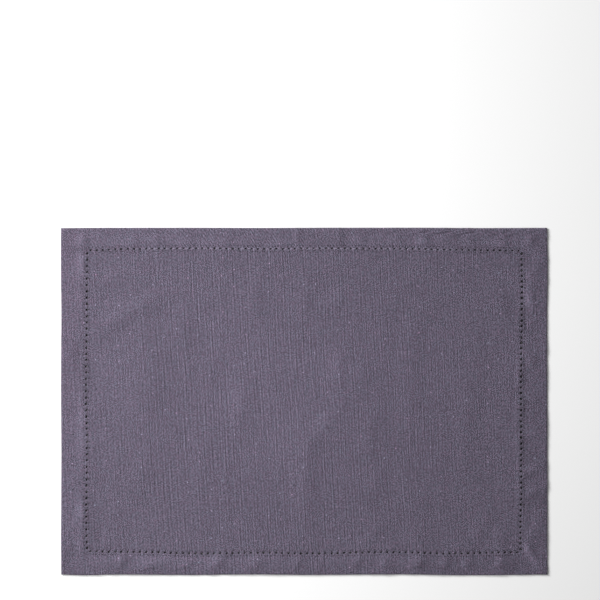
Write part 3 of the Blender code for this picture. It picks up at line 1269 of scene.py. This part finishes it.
def thick_and_thin(bench, grain):
    """The upright yarn is thick and thin by turns, and looks thinner between two thick ones."""
    beside = bench.math(
        "ADD", warp_yarn(bench, grain, THICK_YARN, -1), warp_yarn(bench, grain, THICK_YARN, 1)
    )
    own = warp_yarn(bench, grain, THICK_YARN)
    return bench.math("ADD", bench.scaled(beside, -CROWDED_BY), own)


def crossings(bench, grain):
    """Where two threads cross, the upper one stands out from the four that it pushes under."""
    crossing = bench.speckle(bench.pair(grain.warp, grain.weft))
    for step_x, step_y in ((1, 0), (-1, 0), (0, 1), (0, -1)):
        beside = bench.speckle(bench.pair(
            bench.math("ADD", grain.warp, step_x), bench.math("ADD", grain.weft, step_y)
        ))
        crossing = bench.math("MULTIPLY_ADD", beside, -CROWDED_OUT, crossing)
    return crossing


def reed_marks(bench, grain, marked):
    """The warp stands closer and wider in turn, in two sets of lines, closer to the right."""
    hem_lean = bench.scaled(grain.flat_x, REED_HEM_GAIN, REED_HEM_LEAN)
    wide = bench.total(
        bench.scaled(grain.x, REED_LINES),
        bench.math("MULTIPLY", bench.scaled(grain.x, REED_GAIN), grain.x),
        bench.scaled(grain.y, REED_LEAN),
        bench.math("MULTIPLY", grain.into_far_hem, hem_lean),
        bench.noise(grain.flat, scale=0.008),
    )
    fine = bench.math("ADD", wide, bench.scaled(grain.x, REED_SECOND))
    marks = bench.total(bench.sine(wide, REED_TONE), bench.sine(fine, FINE_REED_TONE))
    # they are stronger in long patches and in the middle of the mat, and fade along their length
    long_patches = bench.pair(bench.scaled(grain.x, 0.11), bench.scaled(grain.y, 0.016))
    patchy = bench.ramp(bench.noise(long_patches, detail=1.0), 0.30, 0.70, 0.55, 1.35)
    marks = bench.math("MULTIPLY", marks, bench.math("MULTIPLY", patchy, marked))
    pieces = bench.pair(bench.scaled(grain.x, 0.30), bench.scaled(grain.y, 1 / 25.0))
    fading = bench.ramp(bench.noise(pieces, detail=1.0), 0.36, 0.62, 0.75, 1.15)
    return bench.math("MULTIPLY", marks, fading)


def pricks(bench, holes_so_far, from_row_mm, row_mm, per_hole):
    """Small needle holes beside the row, as 1 in a prick and 0 elsewhere."""
    along_row = bench.scaled(holes_so_far, per_hole)
    chance = bench.speckle(bench.pair(bench.math("FLOOR", along_row), row_mm))
    off = bench.centred(bench.math("FRACT", along_row), HOLE_PITCH_MM / per_hole)
    off = bench.math("ADD", off, bench.centred(chance, 1.0))
    across = bench.math("SUBTRACT", from_row_mm, row_mm)
    reach = bench.math(
        "ADD", bench.math("MULTIPLY", off, off), bench.math("MULTIPLY", across, across)
    )
    return bench.math("LESS_THAN", reach, bench.scaled(chance, 0.30, 0.14))


def row_marks(bench):
    """Where the cloth by the row of holes is painted with shade, each as 1 there and 0 elsewhere.

    They are the line where the cloth drops, the needle's pricks, and the holes' insides, each painted
    darker as painted shade.
    """
    holes_so_far, from_row_mm = bench.parts(bench.map("hole_row"))
    row_drop_shade = bench.math(
        "MULTIPLY", bench.ramp(from_row_mm, 0.8, 1.8), bench.ramp(from_row_mm, 2.6, 4.2, 1.0, 0.0)
    )
    pricked = bench.math("MAXIMUM", *[
        pricks(bench, holes_so_far, from_row_mm, row_mm, per_hole)
        for row_mm, per_hole in PRICKED_ROWS
    ])
    hole_painted_shade = bench.ramp(from_row_mm, 16.0, 36.0)
    return row_drop_shade, pricked, hole_painted_shade


def neps(bench, flat):
    """Small knots of fibre: how strong a lighter or a darker one is at a place, and its hue."""
    spots = bench.add(
        "ShaderNodeTexVoronoi",
        {"Vector": flat, "Scale": 1 / NEP_PITCH_MM, "Randomness": 1.0},
        voronoi_dimensions="2D",
        feature="F1",
    )
    kind, hue = bench.parts(spots.outputs["Color"])
    near = bench.ramp(spots.outputs["Distance"], 0.03, 0.075, 1.0, 0.0)
    light = bench.math("MULTIPLY", near, bench.math("GREATER_THAN", kind, LIGHT_NEPS_FROM))
    light = bench.math("MULTIPLY", light, bench.ramp(kind, LIGHT_NEPS_FROM, 1.0, 0.15, 1.0))
    dark = bench.math("MULTIPLY", near, bench.math("LESS_THAN", kind, DARK_NEPS_TO))
    return light, dark, hue


def yarn_tint(bench, grain, light_nep, nep_hue):
    """The hue drifts between a pinker and a bluer purple, and the far left hem is pinker."""
    pinker = bench.math(
        "MULTIPLY",
        bench.ramp(grain.flat_x, -200.0, -230.0),
        bench.ramp(grain.flat_y, -90.0, 40.0),
    )
    hue = bench.total(
        bench.scaled(pinker, 0.11),
        bench.centred(bench.noise(grain.flat, scale=0.10, detail=1.0), 0.26),
        bench.centred(bench.noise(grain.flat, scale=0.42, detail=2.0), 1.0),
        bench.centred(bench.speckle(bench.pair(grain.weft, grain.warp)), 0.30),
        bench.math("MULTIPLY", light_nep, bench.scaled(nep_hue, 1.0, -0.4)),
    )
    red, green, blue = (bench.scaled(hue, change, 1.0) for change in PINKER)
    return bench.add("ShaderNodeCombineXYZ", {"X": red, "Y": green, "Z": blue}).outputs[0]


def cloth_material():
    """Plain weave of slubby yarn, whose upright threads differ in tone more than the others."""
    bench = Bench("slubby_purple_grey_linen")
    grain = cloth_grain(bench)
    weave = plain_weave(bench, grain)
    crossing = crossings(bench, grain)
    fuzz = bench.noise(grain.flat, scale=1.0, detail=2.0)
    weft_places = bench.pair(
        bench.scaled(grain.x, 1 / WEFT_YARN.length_mm, 37.0), bench.scaled(grain.weft, WEFT_YARN.apart)
    )
    weft_tone = bench.noise(weft_places, detail=1.0)
    # the upright threads show most in the middle of the mat, and the crossings to its right
    marked = bench.ramp(bench.math("ABSOLUTE", grain.flat_x), 80.0, 200.0, 1.20, 0.60)
    coarse = bench.ramp(bench.scaled(grain.flat_x, 1.0, 30.0), 120.0, 200.0, 0.98, 1.12)
    warp_tone = bench.centred(warp_yarn(bench, grain, WARP_YARN, detail=1.0), 1.0)
    warp_tone = bench.math("MULTIPLY", warp_tone, marked)
    row_drop_shade, pricked, hole_painted_shade = row_marks(bench)
    light_nep, dark_nep, nep_hue = neps(bench, grain.flat)

    tone = bench.total(
        bench.scaled(warp_tone, WARP_TONE),
        bench.centred(thick_and_thin(bench, grain), THICK_TONE, 0.5 - CROWDED_BY),
        bench.centred(weft_tone, WEFT_TONE),
        reed_marks(bench, grain, marked),
        bench.math("MULTIPLY", bench.centred(crossing, 1.0, 0.5 - 2 * CROWDED_OUT), coarse),
        bench.centred(fuzz, FUZZ_TONE),
        # painted shade of the round threads: darker between them, lighter on their crowns
        bench.scaled(weave, WEAVE_PAINTED_SHADE_TONE, -0.19),
        # painted light and shade of the creases, puckers and mitre ridge, in soft patches
        bench.attribute("painted_light_and_shade"),
        # painted shade along the line where the cloth drops beside the row
        bench.scaled(row_drop_shade, ROW_DROP_PAINTED_SHADE_TONE),
        bench.scaled(light_nep, LIGHT_NEP_TONE),
        bench.scaled(dark_nep, DARK_NEP_TONE),
        # painted shade in the needle's small pricks
        bench.scaled(pricked, PRICK_PAINTED_SHADE_TONE),
        # painted shade: a hole's walls are darkened to near black
        bench.scaled(hole_painted_shade, HOLE_PAINTED_SHADE_TONE),
    )
    tone = bench.math("MAXIMUM", bench.scaled(tone, 0.5, 0.99), DARKEST)
    tone = bench.math("POWER", tone, 2.0)
    tint = yarn_tint(bench, grain, light_nep, nep_hue)
    colour = bench.vector("MULTIPLY", {0: tint, 1: CLOTH_COLOUR})
    colour = bench.vector("SCALE", {0: colour, "Scale": tone})

    height = bench.total(
        weave,
        bench.scaled(crossing, 1.6),
        bench.scaled(fuzz, 0.2),
        bench.scaled(warp_tone, 0.5),
        bench.scaled(weft_tone, 0.25),
        bench.scaled(pricked, -1.2),
    )
    roughness = bench.scaled(weave, -0.10, 0.95)
    bench.shader.inputs["Specular IOR Level"].default_value = 0.25
    bench.shader.inputs["Sheen Weight"].default_value = 0.10
    bench.shader.inputs["Sheen Roughness"].default_value = 0.5
    return bench.finish(colour, height, CLOTH_BUMP, roughness)


def thread_material():
    """Two-ply sewing thread, a little lighter and smoother than the cloth."""
    bench = Bench("purple_grey_sewing_thread")
    around, along = bench.parts(bench.map("thread_twist"))
    turns = bench.total(bench.scaled(around, 2 / ROUND_SHARE), along, along, along)
    ply = bench.scaled(bench.sine(turns, 1.0), 0.5, 0.5)
    place_on_mat = bench.add("ShaderNodeTexCoord", {}).outputs["Object"]
    worn = bench.noise(place_on_mat, scale=900.0, detail=1.0)
    # in the middle of the far row the thread is painted lighter, a painted glint
    x, y = bench.parts(place_on_mat)
    off_middle = bench.math("ABSOLUTE", bench.scaled(x, 1.0, 0.009))
    painted_glint_area = bench.math(
        "MULTIPLY", bench.ramp(y, 0.138, 0.141), bench.ramp(off_middle, 0.13, 0.18, 1.0, 0.0)
    )
    painted_glint = bench.math("MULTIPLY", painted_glint_area, bench.ramp(worn, 0.42, 0.60, 0.3, 1.8))
    # the ply's tone is painted shade: the thread is darker in the grooves between its plies
    tone = bench.total(bench.scaled(ply, 0.25, 0.80), bench.centred(worn, 0.5), painted_glint)
    colour = bench.vector("SCALE", {0: THREAD_COLOUR, "Scale": tone})
    bench.shader.inputs["Specular IOR Level"].default_value = 0.4
    bench.shader.inputs["Sheen Weight"].default_value = 0.15
    return bench.finish(colour, ply, THREAD_BUMP, bench.scaled(worn, 0.2, 0.55))


def floor_material():
    bench = Bench("pale_studio_floor")
    bench.shader.inputs["Base Color"].default_value = (*FLOOR_COLOUR, 1.0)
    bench.shader.inputs["Roughness"].default_value = 0.9
    bench.shader.inputs["Specular IOR Level"].default_value = 0.1
    return bench.material


# ---------------------------------------------------------------------------------------------
# Camera, floor and light
# ---------------------------------------------------------------------------------------------

def set_camera():
    """Straight above, with the mat where the picture has it."""
    wide = PICTURE_WIDTH * PIXEL
    middle = PICTURE_WIDTH / 2
    x = (middle - MAT_MIDDLE_PIXEL[0]) * PIXEL
    y = (MAT_MIDDLE_PIXEL[1] - middle) * PIXEL
    data = bpy.data.cameras.new("camera")
    data.lens = LENS
    data.sensor_width = SENSOR
    camera = bpy.data.objects.new("camera", data)
    bpy.context.scene.collection.objects.link(camera)
    camera.location = (x, y, wide * LENS / SENSOR)
    bpy.context.scene.camera = camera


def make_floor():
    bpy.ops.object.select_all(action="DESELECT")
    bpy.ops.mesh.primitive_plane_add(size=FLOOR_SIZE, location=(0, 0, -FLOOR_DROP))
    floor = bpy.context.object
    floor.name = "floor"
    bpy.ops.object.transform_apply(location=True)
    floor.data.materials.append(floor_material())
    return floor


def add_softbox(box):
    data = bpy.data.lights.new(box.name, "AREA")
    data.shape = "DISK"
    data.size = box.width
    data.energy = box.power
    light = bpy.data.objects.new(box.name, data)
    bpy.context.scene.collection.objects.link(light)
    light.location = box.place
    light.rotation_euler = (-Vector(box.place)).to_track_quat("-Z", "Y").to_euler()


def light_the_studio():
    world = bpy.data.worlds.new("studio")
    world.use_nodes = True
    background = world.node_tree.nodes["Background"]
    background.inputs["Color"].default_value = (1.0, 1.0, 1.0, 1.0)
    background.inputs["Strength"].default_value = STUDIO_GLOW
    bpy.context.scene.world = world
    for box in SOFTBOXES:
        add_softbox(box)
    bpy.context.scene.view_settings.view_transform = "Standard"


# ---------------------------------------------------------------------------------------------

set_camera()
light_the_studio()
floor = make_floor()

HOLES = hemstitch_holes()
cloth = make_cloth(HOLES)
cloth.data.materials.append(cloth_material())
thread = make_thread(HOLES)
thread.data.materials.append(thread_material())

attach(cloth, "root")
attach(thread, "root")
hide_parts("placemat")
